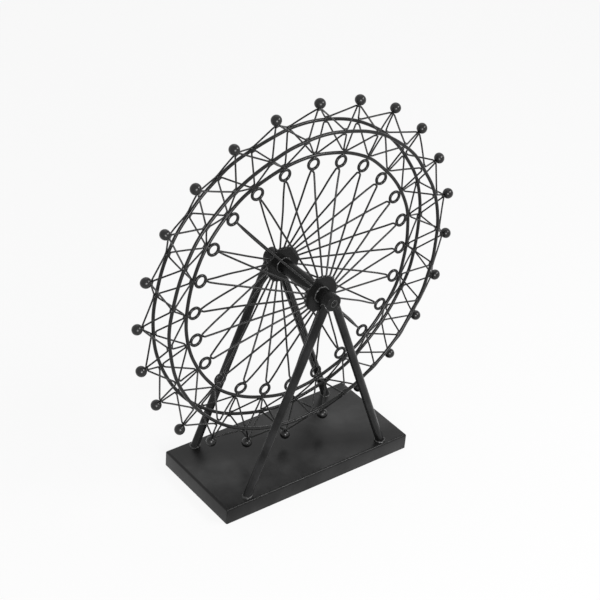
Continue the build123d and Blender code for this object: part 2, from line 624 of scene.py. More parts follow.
def copies_tree() -> bpy.types.NodeTree:
    """A mesh copied around the axle.

    Returns:
        The tree, with an input for the number of copies.
    """
    tree = GeometryTree(
        "stations",
        {
            "Blank": Socket.GEOMETRY,
            "Count": Socket.INTEGER,
            "Wobble": Socket.FLOAT,
            "Material": Socket.MATERIAL,
        },
    )
    return tree.finish(hand_bent(tree, turned_copies(tree, tree.given["Blank"])))


def weld_tree() -> bpy.types.NodeTree:
    """A lump of weld at every point, each a little different, copied around the axle.

    Returns:
        The tree, with inputs for the lumps' unevenness, copies and seed.
    """
    tree = GeometryTree(
        "welds",
        {
            "Places": Socket.GEOMETRY,
            "Roughness": Socket.FLOAT,
            "Count": Socket.INTEGER,
            "Wobble": Socket.FLOAT,
            "Seed": Socket.INTEGER,
            "Material": Socket.MATERIAL,
        },
    )
    size = tree.node("GeometryNodeInputNamedAttribute", {"Name": "size"}, data_type="FLOAT")
    lump = tree.node("GeometryNodeMeshIcoSphere", {"Radius": 1.0, "Subdivisions": LUMP_LEVEL})
    scale = tree.vector("SCALE", {0: tree.random(*LUMP_STRETCH), "Scale": size.outputs[0]})
    placed = tree.node(
        "GeometryNodeInstanceOnPoints",
        {
            "Points": hand_bent(tree, turned_copies(tree, tree.given["Places"])),
            "Instance": lump.outputs["Mesh"],
            "Rotation": tree.random(0.0, math.tau),
            "Scale": scale,
        },
    )
    noise = tree.node(
        "ShaderNodeTexNoise",
        {"Vector": tree.field("Position"), "Scale": LUMP_WAVES, "Detail": LUMP_DETAIL},
    )
    centred = tree.math("SUBTRACT", noise.outputs["Fac"], 0.5)
    height = tree.math("MULTIPLY", centred, tree.given["Roughness"])
    return tree.finish(tree.swollen(tree.realized(placed.outputs[0]), height))


def bead_tree() -> bpy.types.NodeTree:
    """A bead of weld along closed loops of edges, thicker here and thinner there.

    Returns:
        The tree, with inputs for the bead's radius, its steps, its unevenness and a seed.
    """
    tree = GeometryTree(
        "weld_beads",
        {
            "Path": Socket.GEOMETRY,
            "Bead Radius": Socket.FLOAT,
            "Step": Socket.FLOAT,
            "Unevenness": Socket.FLOAT,
            "Seed": Socket.INTEGER,
            "Material": Socket.MATERIAL,
        },
    )
    path = tree.node("GeometryNodeMeshToCurve", {0: tree.given["Path"]})
    even = tree.node(
        "GeometryNodeResampleCurve",
        {"Curve": path.outputs[0], "Length": tree.given["Step"]},
        mode="LENGTH",
    )
    bead = tree.tube(even.outputs[0], tree.given["Bead Radius"], BEAD_SIDES)
    heights = []
    for waves in BEAD_WAVES:
        noise = tree.node(
            "ShaderNodeTexNoise",
            {
                "Vector": tree.field("Position"),
                "W": tree.given["Seed"],
                "Scale": waves,
                "Detail": 1.0,
            },
            noise_dimensions="4D",
        )
        heights.append(noise.outputs["Fac"])
    centred = tree.math("SUBTRACT", tree.math("ADD", *heights), 1.0)
    height = tree.math("MULTIPLY", centred, tree.given["Unevenness"])
    return tree.finish(tree.swollen(bead, height))


# ---- Making and dressing pieces ------------------------------------------------------------

SHARP_ANGLE = math.radians(35)
MERGE_DISTANCE = 0.001 * MM
BEAD_STEP = 0.4 * MM
LATHE_STEPS = 96


@dataclass
class Workshop:
    """Makes pieces from meshes and trees, hangs each on its body and hides the solids that it
    stands for.
    """

    paints: dict[str, bpy.types.Material] = field(default_factory=dict)
    wires: bpy.types.NodeTree | None = None
    copies: bpy.types.NodeTree | None = None
    welds: bpy.types.NodeTree | None = None
    beads: bpy.types.NodeTree | None = None

    def open(self) -> None:
        """Builds the trees that every class shares."""
        self.wires = wire_tree()
        self.copies = copies_tree()
        self.welds = weld_tree()
        self.beads = bead_tree()

    def paint(self, finish: BlackPaint) -> bpy.types.Material:
        """The material of a finish, built once.

        Args:
            finish: The paint.

        Returns:
            Its material.
        """
        if finish.name not in self.paints:
            self.paints[finish.name] = finish.material()
        return self.paints[finish.name]

    def mesh(
        self,
        name: str,
        points: Iterable[Vector],
        edges: Iterable[tuple[int, int]] = (),
        faces: Iterable[Sequence[int]] = (),
    ) -> bpy.types.Object:
        """A new mesh object at the origin.

        Args:
            name: The object's name.
            points: The vertices.
            edges: Pairs of vertex numbers.
            faces: Rings of vertex numbers.

        Returns:
            The object, linked to the scene.
        """
        data = bpy.data.meshes.new(name)
        data.from_pydata([tuple(point) for point in points], list(edges), list(faces))
        made = bpy.data.objects.new(name, data)
        bpy.context.scene.collection.objects.link(made)
        return made

    def apply_modifiers(self, piece: bpy.types.Object) -> bpy.types.Object:
        """Keeps the result of a piece's modifiers as its plain mesh.

        Args:
            piece: The piece whose modifiers are applied.

        Returns:
            The same piece with its new mesh and no modifier.
        """
        depsgraph = bpy.context.evaluated_depsgraph_get()
        result = bpy.data.meshes.new_from_object(piece.evaluated_get(depsgraph))
        old = piece.data
        piece.modifiers.clear()
        piece.data = result
        result.name = piece.name
        bpy.data.meshes.remove(old)
        return piece

    def grow(
        self,
        host: bpy.types.Object,
        tree: bpy.types.NodeTree,
        finish: BlackPaint,
        values: dict[str, object],
    ) -> bpy.types.Object:
        """Runs a tree on an object and keeps the result as the object's plain mesh.

        Args:
            host: The object whose mesh the tree starts from.
            tree: The Geometry Nodes tree.
            finish: The paint that the tree sets.
            values: The value of each other named input.

        Returns:
            The same object with its new mesh and no modifier.
        """
        modifier = host.modifiers.new(tree.name, "NODES")
        modifier.node_group = tree
        values = {**values, "Material": self.paint(finish)}
        for item in tree.interface.items_tree:
            if item.in_out == "INPUT" and item.name in values:
                modifier[item.identifier] = values[item.name]
        return self.apply_modifiers(host)

    def lumps(
        self,
        name: str,
        places: Sequence[tuple[Vector, float]],
        finish: BlackPaint,
        seed: int,
        count: int = 1,
        roughness: float = 0.6 * MM,
        wobble: float = 0.0,
    ) -> bpy.types.Object:
        """Lumps of weld at places given with their radii, copied around the axle.

        Args:
            name: The piece's name.
            places: Middle and radius of each lump.
            finish: The lumps' paint.
            seed: Seed of the lumps' shapes.
            count: Copies around the axle.
            roughness: Height of the unevenness.
            wobble: How far the lumps stray with the wires.

        Returns:
            The lumps as one mesh.
        """
        host = self.mesh(name, [place for place, _ in places])
        size = host.data.attributes.new("size", "FLOAT", "POINT")
        size.data.foreach_set("value", [radius for _, radius in places])
        values = {"Roughness": roughness, "Count": count, "Wobble": wobble, "Seed": seed}
        return self.grow(host, self.welds, finish, values)

    def bead(
        self,
        name: str,
        loops: Sequence[Sequence[Vector]],
        radius: float,
        finish: BlackPaint,
        seed: int,
        unevenness: float = 1.6 * MM,
    ) -> bpy.types.Object:
        """Beads of weld along closed loops.

        Args:
            name: The piece's name.
            loops: The points of each loop.
            radius: The bead's mean radius.
            finish: The bead's paint.
            seed: Seed of the bead's shape.
            unevenness: Height of its thick and thin places.

        Returns:
            The beads as one mesh.
        """
        points: list[Vector] = []
        edges = []
        for loop in loops:
            start = len(points)
            points += loop
            edges += [(start + i, start + (i + 1) % len(loop)) for i in range(len(loop))]
        host = self.mesh(name, points, edges)
        values = {
            "Bead Radius": radius,
            "Step": BEAD_STEP,
            "Unevenness": unevenness,
            "Seed": seed,
        }
        return self.grow(host, self.beads, finish, values)

    def lathe(
        self, name: str, profile: Sequence[tuple[float, float]], steps: int = LATHE_STEPS
    ) -> bpy.types.Object:
        """A closed profile turned about the axle.

        Args:
            name: The piece's name.
            profile: Radius and place along the axle of each corner.
            steps: Steps around the axle.

        Returns:
            The turned piece, measured from the axle's middle.
        """
        points = []
        for step in range(steps):
            angle = math.tau * step / steps
            for radius, along in profile:
                points.append(Vector((radius * math.cos(angle), along, radius * math.sin(angle))))
        rows = len(profile)
        faces = []
        for step in range(steps):
            here, there = step * rows, (step + 1) % steps * rows
            for row in range(rows):
                up = (row + 1) % rows
                faces.append((here + row, here + up, there + up, there + row))
        made = self.mesh(name, points, faces=faces)
        self.tidy(made)
        return made

    def tube(
        self,
        name: str,
        radii: tuple[float, float],
        ends: tuple[float, float],
        rounding: float,
        steps: int = LATHE_STEPS,
    ) -> bpy.types.Object:
        """A tube or a pierced disc around the axle, with rounded edges.

        Args:
            name: The piece's name.
            radii: The radii of its bore and of its outside.
            ends: The places of its two ends along the axle.
            rounding: The radius of its edges.
            steps: Steps around the axle.

        Returns:
            The tube, measured from the axle's middle.
        """
        (bore, outside), (near, far) = radii, ends
        corners = [(bore, near), (outside, near), (outside, far), (bore, far)]
        return self.lathe(name, rounded(corners, rounding), steps)

    def rod(
        self, name: str, radius: float, length: float, sides: int, place: Matrix
    ) -> bpy.types.Object:
        """A plain round rod.

        Args:
            name: The rod's name.
            radius: Its radius.
            length: Its length, along its own Z axis.
            sides: Sides of its section.
            place: Where its middle goes and how it turns.

        Returns:
            The rod with its caps.
        """
        made = self.mesh(name, [])
        work = bmesh.new()
        bmesh.ops.create_cone(
            work,
            cap_ends=True,
            segments=sides,
            radius1=radius,
            radius2=radius,
            depth=length,
            matrix=place,
        )
        work.to_mesh(made.data)
        work.free()
        return made

    def tidy(self, piece: bpy.types.Object) -> None:
        """Merges doubled vertices, drops bare edges and turns the faces outwards.

        Args:
            piece: The piece to tidy.
        """
        work = bmesh.new()
        work.from_mesh(piece.data)
        bmesh.ops.remove_doubles(work, verts=work.verts, dist=MERGE_DISTANCE)
        bmesh.ops.dissolve_degenerate(work, edges=work.edges, dist=MERGE_DISTANCE)
        bare = [edge for edge in work.edges if not edge.link_faces]
        bmesh.ops.delete(work, geom=bare, context="EDGES")
        bmesh.ops.recalc_face_normals(work, faces=work.faces)
        work.to_mesh(piece.data)
        work.free()
        piece.data.shade_smooth()
        piece.data.set_sharp_from_angle(angle=SHARP_ANGLE)

    def hand_over(
        self,
        piece: bpy.types.Object,
        body: Body,
        finish: BlackPaint,
        nodes: Sequence[str] = (),
        lift: float = 0.0,
    ) -> None:
        """Paints a piece, lifts its mesh into place, hangs it on its body, hides the solids that
        it stands for and logs them.

        Args:
            piece: The finished piece.
            body: The body that it rides on.
            finish: Its paint.
            nodes: The solids that it stands for.
            lift: How far the mesh is moved up.
        """
        piece.data.transform(Matrix.Translation((0, 0, lift)))
        piece.data.materials.clear()
        piece.data.materials.append(self.paint(finish))
        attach(piece, body.value)
        if nodes:
            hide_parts(*nodes)
        piece.data.calc_loop_triangles()
        LOG.info(
            "%s: %d triangles on the %s, for %s",
            piece.name,
            len(piece.data.loop_triangles),
            body.value,
            ", ".join(nodes) or "no solid of its own",
        )


def rounded(
    corners: Sequence[tuple[float, float]], radius: float, steps: int = 5
) -> list[tuple[float, float]]:
    """A closed profile with its corners rounded.

    Args:
        corners: The profile's corners.
        radius: The rounding's radius.
        steps: Straight steps in each rounding.

    Returns:
        The rounded profile.
    """
    rounded_profile = []
    for index, corner in enumerate(corners):
        middle = Vector(corner)
        before = (Vector(corners[index - 1]) - middle).normalized()
        after = (Vector(corners[(index + 1) % len(corners)]) - middle).normalized()
        turn = before.angle(after)
        start = middle + before * (radius / math.tan(turn / 2))
        end = middle + after * (radius / math.tan(turn / 2))
        centre = middle + (before + after).normalized() * (radius / math.sin(turn / 2))
        for step in range(steps + 1):
            share = step / steps
            chord = start.lerp(end, share) - centre
            spot = centre + chord.normalized() * radius
            rounded_profile.append((spot.x, spot.y))
    return rounded_profile


def ellipse(middle: Vector, across: Vector, upward: Vector, steps: int) -> list[Vector]:
    """Points around a circle or an ellipse.

    Args:
        middle: Its middle.
        across: From its middle to the first point.
        upward: From its middle to the point a quarter turn on.
        steps: The number of points.

    Returns:
        The points.
    """
    angles = [math.tau * step / steps for step in range(steps)]
    return [middle + across * math.cos(angle) + upward * math.sin(angle) for angle in angles]


# ---- The wheel -----------------------------------------------------------------------------


@dataclass
class Wheel:
    """The wheel: hub, spokes, eyelets, three hoops, four truss wires, balls and welds.

    Attributes:
        axle_height: Height of the axle above the ground.
        hub_end: From the middle to an end of the hub tube.
        flange_outer: From the middle to the outer face of a flange.
    """

    shop: Workshop
    axle_height: float
    hub_end: float
    flange_outer: float
    stations: int = 24
    rest_angle: float = math.radians(1.7)
    hoop_radius: float = 150.5 * MM
    hoop_spacing: float = 26.0 * MM
    rim_depth: float = 25.5 * MM
    ball_rise: float = 24.0 * MM
    hoop_wire: float = 3.2 * MM
    truss_wire: float = 1.6 * MM
    spoke_wire: float = 1.8 * MM
    ball_diameter: float = 10.0 * MM
    eyelet_diameter: float = 13.4 * MM
    eyelet_wire: float = 2.8 * MM
    truss_turn: float = 4.2 * MM
    truss_bend: float = 2.3 * MM
    spoke_turn: float = 4.0 * MM
    spoke_bend: float = 1.9 * MM
    bend_steps: int = 7
    hoop_steps: int = 8  # from one station to the next
    hoop_sides: int = 20
    thin_sides: int = 14
    eyelet_steps: int = 40
    eyelet_sides: int = 16
    ball_steps: tuple[int, int] = (40, 24)  # around the ball and from pole to pole
    wobble: float = 4.0 * MM
    hub_radius: float = 7.0 * MM
    hub_rounding: float = 0.4 * MM
    bore_radius: float = 3.05 * MM
    flange_radius: float = 17.5 * MM
    flange_thickness: float = 3.5 * MM
    flange_rounding: float = 0.8 * MM
    flange_steps: int = 128
    weld_gap: float = 0.05 * MM
    weld_reach: float = 0.1 * MM  # of a lump's middle past the edge that it is on
    ball_weld_reach: float = 0.3 * MM
    hub_weld_reach: float = 0.2 * MM
    truss_weld_shift: float = 0.5 * MM
    ball_weld: float = 1.5 * MM
    inner_truss_weld: float = 1.3 * MM
    eyelet_weld: float = 1.2 * MM
    outer_truss_weld: float = 1.1 * MM
    flange_weld: float = 1.35 * MM
    hub_weld: float = 1.0 * MM
    hub_weld_steps: int = 3  # from one station to the next

    @property
    def pitch(self) -> float:
        """Angle from one station to the next."""
        return math.tau / self.stations

    @property
    def flange_inner(self) -> float:
        """From the middle to the inner face of a flange."""
        return self.flange_outer - self.flange_thickness

    @property
    def flange_middle(self) -> float:
        """From the middle to the middle of a flange."""
        return self.flange_outer - self.flange_thickness / 2

    @property
    def inner_radius(self) -> float:
        """Radius of the inner hoop."""
        return self.hoop_radius - self.rim_depth

    @property
    def ball_circle(self) -> float:
        """Radius of the circle of balls."""
        return self.hoop_radius + self.ball_rise

    @property
    def hoop_seat(self) -> float:
        """From the middle of a hoop's wire to the middle of a truss wire welded to it."""
        return (self.hoop_wire + self.truss_wire) / 2 + self.weld_gap

    @property
    def eyelet_circle(self) -> float:
        """Radius of the circle of eyelets."""
        return self.inner_radius - (self.hoop_wire + self.eyelet_diameter) / 2 - self.weld_gap

    @property
    def spoke_tip(self) -> float:
        """Radius at which a spoke turns back."""
        return self.eyelet_circle - (self.eyelet_diameter + self.spoke_wire) / 2 - self.weld_gap

    @property
    def pair_offset(self) -> float:
        """Half the distance between two truss wires that lie side by side."""
        return self.truss_wire / 2 + self.weld_gap

    @property
    def ball_tip(self) -> float:
        """Radius at which the outer truss wires turn under a ball."""
        seat = (self.ball_diameter + self.truss_wire) / 2 + self.weld_gap
        return self.ball_circle - math.sqrt(seat**2 - self.pair_offset**2)

    def point(self, radius: float, along: float, turn: float, shift: float = 0.0) -> Vector:
        """A point of the wheel, measured from the axle's middle.

        Args:
            radius: Distance from the axle.
            along: Place along the axle.
            turn: Stations past the first one, clockwise from the front.
            shift: Distance sideways, against the turn.

        Returns:
            The point.
        """
        angle = math.pi / 2 - self.rest_angle - turn * self.pitch
        outward = Vector((math.cos(angle), 0, math.sin(angle)))
        sideways = Vector((-math.sin(angle), 0, math.cos(angle)))
        return outward * radius + sideways * shift + Vector((0, along, 0))

    def hand_over(
        self, piece: bpy.types.Object, finish: BlackPaint, nodes: Sequence[str] = ()
    ) -> None:
        """Hands a piece over at the axle's height.

        Args:
            piece: The piece, measured from the axle's middle.
            finish: Its paint.
            nodes: The solids that it stands for.
        """
        self.shop.hand_over(piece, Body.WHEEL, finish, nodes, self.axle_height)

    def make_wire(
        self,
        name: str,
        path: Sequence[Vector],
        wire: float,
        sides: int,
        node: str,
        closed: bool = True,
        bend: float = 0.0,
        count: int = 1,
    ) -> None:
        """Round wire along a path, copied around the axle and handed over.

        Args:
            name: The piece's name.
            path: The path's corners, measured from the axle's middle.
            wire: The wire's diameter.
            sides: Sides of its section.
            node: The solid that it stands for.
            closed: Whether the path's end joins its start.
            bend: The radius of its bends.
            count: Copies around the axle.
        """
        last = len(path) if closed else len(path) - 1
        edges = [(start, (start + 1) % len(path)) for start in range(last)]
        values = {
            "Wire Radius": wire / 2,
            "Bend Radius": bend,
            "Bend Steps": self.bend_steps if bend else 1,
            "Sides": sides,
            "Count": count,
            "Wobble": self.wobble,
        }
        host = self.shop.mesh(name, path, edges)
        grown = self.shop.grow(host, self.shop.wires, WIRE_PAINT, values)
        self.hand_over(grown, WIRE_PAINT, [node])

    def make_hoops(self) -> None:
        """The two outer hoops and the inner one."""
        places = {
            "front": (self.hoop_radius, -self.hoop_spacing / 2),
            "back": (self.hoop_radius, self.hoop_spacing / 2),
            "inner": (self.inner_radius, 0.0),
        }
        turns = [step / self.hoop_steps for step in range(self.hoop_steps * self.stations)]
        for word, (radius, along) in places.items():
            path = [self.point(radius, along, turn) for turn in turns]
            name, node = f"{word}_hoop_wire", f"hoop_{word}"
            self.make_wire(name, path, self.hoop_wire, self.hoop_sides, node)

    def truss_path(
        self, tip_radius: float, tip_along: float, turn_radius: float, turn_along: float
    ) -> list[Vector]:
        """The path of a wire bent to and fro between the stations and a hoop.

        Args:
            tip_radius: Radius of the turns at the stations.
            tip_along: Their place along the axle.
            turn_radius: Radius of the turns halfway between stations.
            turn_along: Their place along the axle.

        Returns:
            The corners of the closed path.
        """
        half = self.truss_turn / 2
        path = []
        for station in range(self.stations):
            path.append(self.point(tip_radius, tip_along, station, half))
            path.append(self.point(tip_radius, tip_along, station, -half))
            path.append(self.point(turn_radius, turn_along, station + 0.5, half))
            path.append(self.point(turn_radius, turn_along, station + 0.5, -half))
        return path

    def make_truss_wires(self) -> None:
        """The four wires of the rim's truss."""
        for side in Side:
            tip = side.value * self.pair_offset
            turn = side.value * self.hoop_spacing / 2
            radii = {
                "outer": (self.ball_tip, self.hoop_radius + self.hoop_seat),
                "inner": (self.inner_radius + self.hoop_seat, self.hoop_radius - self.hoop_seat),
            }
            for word, (tip_radius, turn_radius) in radii.items():
                self.make_wire(
                    f"{side.word}_{word}_truss",
                    self.truss_path(tip_radius, tip, turn_radius, turn),
                    self.truss_wire,
                    self.thin_sides,
                    f"truss_wire_{word}_{side.word}",
                    bend=self.truss_bend,
                )

    def make_spokes(self) -> None:
        """The hairpin spokes, one at every station."""
        flange = self.flange_middle
        half = self.spoke_turn / 2
        slope = math.atan2(flange - half, self.spoke_tip - self.flange_radius)
        foot = self.flange_radius + self.weld_gap + self.spoke_wire / 2 * math.sin(slope)
        tip = self.spoke_tip
        corners = ((foot, flange), (tip, half), (tip, -half), (foot, -flange))
        self.make_wire(
            "hairpin_spokes",
            [self.point(radius, along, 0) for radius, along in corners],
            self.spoke_wire,
            self.thin_sides,
            "spokes",
            closed=False,
            bend=self.spoke_bend,
            count=self.stations,
        )

    def make_eyelets(self) -> None:
        """The small rings inside the inner hoop, one at every station."""
        middle = self.point(self.eyelet_circle, 0, 0)
        radius = (self.eyelet_diameter - self.eyelet_wire) / 2
        across, upward = Vector((radius, 0, 0)), Vector((0, 0, radius))
        self.make_wire(
            "ring_eyelets",
            ellipse(middle, across, upward, self.eyelet_steps),
            self.eyelet_wire,
            self.eyelet_sides,
            "eyelets",
            count=self.stations,
        )

    def make_balls(self) -> None:
        """The balls on the rim, one at every station."""
        blank = self.shop.mesh("rim_balls", [])
        work = bmesh.new()
        around, upward = self.ball_steps
        bmesh.ops.create_uvsphere(
            work,
            u_segments=around,
            v_segments=upward,
            radius=self.ball_diameter / 2,
            matrix=Matrix.Translation(self.point(self.ball_circle, 0, 0)),
        )
        work.to_mesh(blank.data)
        work.free()
        values = {"Count": self.stations, "Wobble": self.wobble}
        balls = self.shop.grow(blank, self.shop.copies, BALL_PAINT, values)
        nodes = [f"ball_{station + 1:02d}" for station in range(self.stations)]
        self.hand_over(balls, BALL_PAINT, nodes)

    def make_hub(self) -> None:
        """The hub tube and its two flanges."""
        radii, ends = (self.bore_radius, self.hub_radius), (-self.hub_end, self.hub_end)
        tube = self.shop.tube("hub_spindle", radii, ends, self.hub_rounding)
        self.hand_over(tube, BAR_PAINT, ["hub_tube"])
        radii = (self.hub_radius + self.weld_gap, self.flange_radius)
        for side in Side:
            ends = (side.value * self.flange_inner, side.value * self.flange_outer)
            name = f"{side.word}_flange_disc"
            disc = self.shop.tube(name, radii, ends, self.flange_rounding, self.flange_steps)
            self.hand_over(disc, BAR_PAINT, [f"hub_flange_{side.word}"])

    def make_welds(self) -> None:
        """The painted-over welds wherever two pieces of the wheel meet."""
        edge = self.hoop_wire / 2 + self.weld_reach
        under_ball = self.ball_circle - self.ball_diameter / 2 - self.ball_weld_reach
        places = [
            (self.point(under_ball, 0, 0), self.ball_weld),
            (self.point(self.inner_radius + edge, 0, 0), self.inner_truss_weld),
            (self.point(self.inner_radius - edge, 0, 0), self.eyelet_weld),
            (self.point(self.spoke_tip + self.spoke_wire / 2, 0, 0), self.eyelet_weld),
        ]
        for side in Side:
            hoop = side.value * self.hoop_spacing / 2
            flange = side.value * self.flange_middle
            for hand in (1, -1):
                radius, shift = self.hoop_radius + hand * edge, hand * self.truss_weld_shift
                places.append((self.point(radius, hoop, 0.5, shift), self.outer_truss_weld))
            rim = self.flange_radius + self.weld_reach
            places.append((self.point(rim, flange, 0), self.flange_weld))
        welds = self.shop.lumps(
            "rim_welds", places, WELD_PAINT, seed=11, count=self.stations, wobble=self.wobble
        )
        self.hand_over(welds, WELD_PAINT)

        reach = self.hub_radius + self.hub_weld_reach
        turns = [step / self.hub_weld_steps for step in range(self.hub_weld_steps * self.stations)]
        loops = [
            [self.point(reach, side.value * face, turn) for turn in turns]
            for side in Side
            for face in (self.flange_inner, self.flange_outer)
        ]
        hub_welds = self.shop.bead("hub_welds", loops, self.hub_weld, WELD_PAINT, seed=23)
        self.hand_over(hub_welds, WELD_PAINT)

    def make(self) -> None:
        """Makes every piece of the wheel."""
        self.make_hoops()
        self.make_truss_wires()
        self.make_spokes()
        self.make_eyelets()
        self.make_balls()
        self.make_hub()
        self.make_welds()


# ---- The stand -----------------------------------------------------------------------------


@dataclass
class Stand:
    """The stand: folded base, four legs, two bearings, the axle and the welds between them.

    Attributes:
        base_low: The base's lowest corner.
        base_high: The base's highest corner.
        axle_height: Height of the axle above the ground.
    """

    shop: Workshop
    base_low: Vector
    base_high: Vector
    axle_height: float
    sheet: float = 1.2 * MM
    fold_radius: float = 2.0 * MM
    fold_steps: int = 8
    corner_radius: float = 1.3 * MM
    least_corner: float = 0.03 * MM
    corner_steps: int = 5
    leg_radius: float = 4.0 * MM
    leg_end_inset: float = 28.0 * MM
    leg_side_inset: float = 8.0 * MM
    cope_margin: float = 0.5 * MM
    bearing_radius: float = 8.0 * MM
    bearing_length: float = 10.0 * MM
    bore_radius: float = 3.05 * MM
    axle_radius: float = 3.0 * MM
    axle_stand_out: float = 1.8 * MM
    axle_dome: float = 1.4 * MM
    axle_dome_steps: int = 6
    axle_steps: int = 64
    bearing_rounding: float = 0.7 * MM
    bearing_sides: int = 60
    leg_sides: int = 40
    loop_steps: int = 48
    foot_weld: float = 1.2 * MM
    foot_unevenness: float = 2.4 * MM
    cope_weld: float = 0.9 * MM
    end_weld: float = 0.6 * MM
    end_weld_reach: float = 0.2 * MM
    end_unevenness: float = 1.0 * MM

    @property
    def frame_along(self) -> float:
        """From the middle to the plane of an A-frame."""
        return self.base_high.y - self.leg_side_inset

    def foot(self, side: Side, hand: Hand) -> Vector:
        """The middle of a foot on the base's top.

        Args:
            side: The A-frame's side.
            hand: The leg's hand.

        Returns:
            The foot's middle.
        """
        across = hand.value * (self.base_high.x - self.leg_end_inset)
        return Vector((across, side.value * self.frame_along, self.base_high.z))

    def leg_top(self, side: Side, hand: Hand) -> Vector:
        """Where the middle line of a leg passes the axle.

        Args:
            side: The A-frame's side.
            hand: The leg's hand.

        Returns:
            The point at the axle's height.
        """
        across = hand.value * (self.bearing_radius - self.leg_radius - self.cope_margin)
        return Vector((across, side.value * self.frame_along, self.axle_height))

    def tray_outline(self, inset: float, height: float) -> list[Vector]:
        """A ring around the base at one height.

        Args:
            inset: How far the ring lies inside the base's outline.
            height: The ring's height.

        Returns:
            The ring's points, counterclockwise from above.
        """
        radius = max(self.corner_radius - inset, self.least_corner)
        reach = Vector((self.base_high.x - inset - radius, self.base_high.y - inset - radius))
        ring = []
        for corner, (x, y) in enumerate(((1, 1), (-1, 1), (-1, -1), (1, -1))):
            for step in range(self.corner_steps + 1):
                angle = math.pi / 2 * (corner + step / self.corner_steps)
                ring.append(Vector((
                    x * reach.x + radius * math.cos(angle),
                    y * reach.y + radius * math.sin(angle),
                    height,
                )))
        return ring

    def make_base(self) -> None:
        """The folded tray, with rounded folds and open underneath."""
        rings = []
        top = self.base_high.z
        walls = ((0.0, self.fold_radius), (self.sheet, self.fold_radius - self.sheet))
        for inset, radius in walls:
            shell = [self.tray_outline(inset, self.base_low.z)]
            for step in range(self.fold_steps + 1):
                angle = math.pi / 2 * step / self.fold_steps
                inward = inset + radius * (1 - math.cos(angle))
                height = top - inset - radius * (1 - math.sin(angle))
                shell.append(self.tray_outline(inward, height))
            rings += shell if not rings else list(reversed(shell))
        size = len(rings[0])
        faces = []
        for row in range(len(rings)):
            below, above = row * size, (row + 1) % len(rings) * size
            if row == len(rings) // 2 - 1:
                faces += [range(below, below + size), range(above, above + size)]
                continue
            for step in range(size):
                ahead = (step + 1) % size
                faces.append((below + step, below + ahead, above + ahead, above + step))
        points = [point for ring in rings for point in ring]
        tray = self.shop.mesh("base_tray", points, faces=faces)
        self.shop.tidy(tray)
        self.shop.hand_over(tray, Body.STAND, SHEET_PAINT, ["base"])

    def make_leg(self, side: Side, hand: Hand) -> None:
        """One leg, cut flat at the foot and coped to the bearing.

        Args:
            side: The A-frame's side.
            hand: The leg's hand.
        """
        foot, top = self.foot(side, hand), self.leg_top(side, hand)
        along = (top - foot).normalized()
        bottom = foot - along * 2 * self.leg_radius
        reach = (Vector((0, foot.y, self.axle_height)) - foot).dot(along)
        turn = along.to_track_quat("Z", "Y").to_matrix().to_4x4()
        height = reach + 2 * self.leg_radius
        place = Matrix.Translation(bottom + along * height / 2) @ turn
        name = f"leg_bar_{side.word}_{hand.word}"
        leg = self.shop.rod(name, self.leg_radius, height, self.leg_sides, place)
        work = bmesh.new()
        work.from_mesh(leg.data)
        bmesh.ops.bisect_plane(
            work,
            geom=work.verts[:] + work.edges[:] + work.faces[:],
            plane_co=foot,
            plane_no=(0, 0, -1),
            clear_outer=True,
        )
        bmesh.ops.holes_fill(work, edges=work.edges, sides=self.leg_sides + 4)
        work.to_mesh(leg.data)
        work.free()

        centre = Matrix.Translation((0, foot.y, self.axle_height))
        place = centre @ Matrix.Rotation(math.pi / 2, 4, "X")
        length = 3 * self.leg_radius
        cutter = self.shop.rod(
            "cope_cutter", self.bearing_radius, length, self.bearing_sides, place
        )
        cope = leg.modifiers.new("cope", "BOOLEAN")
        cope.operation = "DIFFERENCE"
        cope.object = cutter
        cope.solver = "EXACT"
        self.shop.apply_modifiers(leg)
        bpy.data.objects.remove(cutter)
        self.shop.tidy(leg)
        self.shop.hand_over(leg, Body.STAND, BAR_PAINT, [f"leg_{side.word}_{hand.word}"])

    def make_axle(self) -> None:
        """The axle, with domed ends, and the two bearings around it."""
        end = self.frame_along + self.bearing_length / 2 + self.axle_stand_out
        profile = [(0.0, -end)]
        for step in range(1, self.axle_dome_steps + 1):
            angle = math.pi / 2 * step / self.axle_dome_steps
            along = -end + self.axle_dome * (1 - math.cos(angle))
            profile.append((self.axle_radius * math.sin(angle), along))
        profile += [(radius, -along) for radius, along in reversed(profile)]
        axle = self.shop.lathe("axle_bar", profile, self.axle_steps)
        self.shop.hand_over(axle, Body.STAND, BAR_PAINT, ["axle"], self.axle_height)

        radii = (self.bore_radius, self.bearing_radius)
        for side in Side:
            middle = side.value * self.frame_along
            ends = (middle - self.bearing_length / 2, middle + self.bearing_length / 2)
            name = f"bearing_tube_{side.word}"
            bearing = self.shop.tube(name, radii, ends, self.bearing_rounding)
            self.shop.hand_over(
                bearing, Body.STAND, BAR_PAINT, [f"bearing_{side.word}"], self.axle_height
            )

    def foot_loop(self, side: Side, hand: Hand) -> list[Vector]:
        """The line along which a foot meets the base.

        Args:
            side: The A-frame's side.
            hand: The leg's hand.

        Returns:
            The points of the closed line.
        """
        foot, top = self.foot(side, hand), self.leg_top(side, hand)
        across = Vector((self.leg_radius / (top - foot).normalized().z, 0, 0))
        return ellipse(foot, across, Vector((0, self.leg_radius, 0)), self.loop_steps)

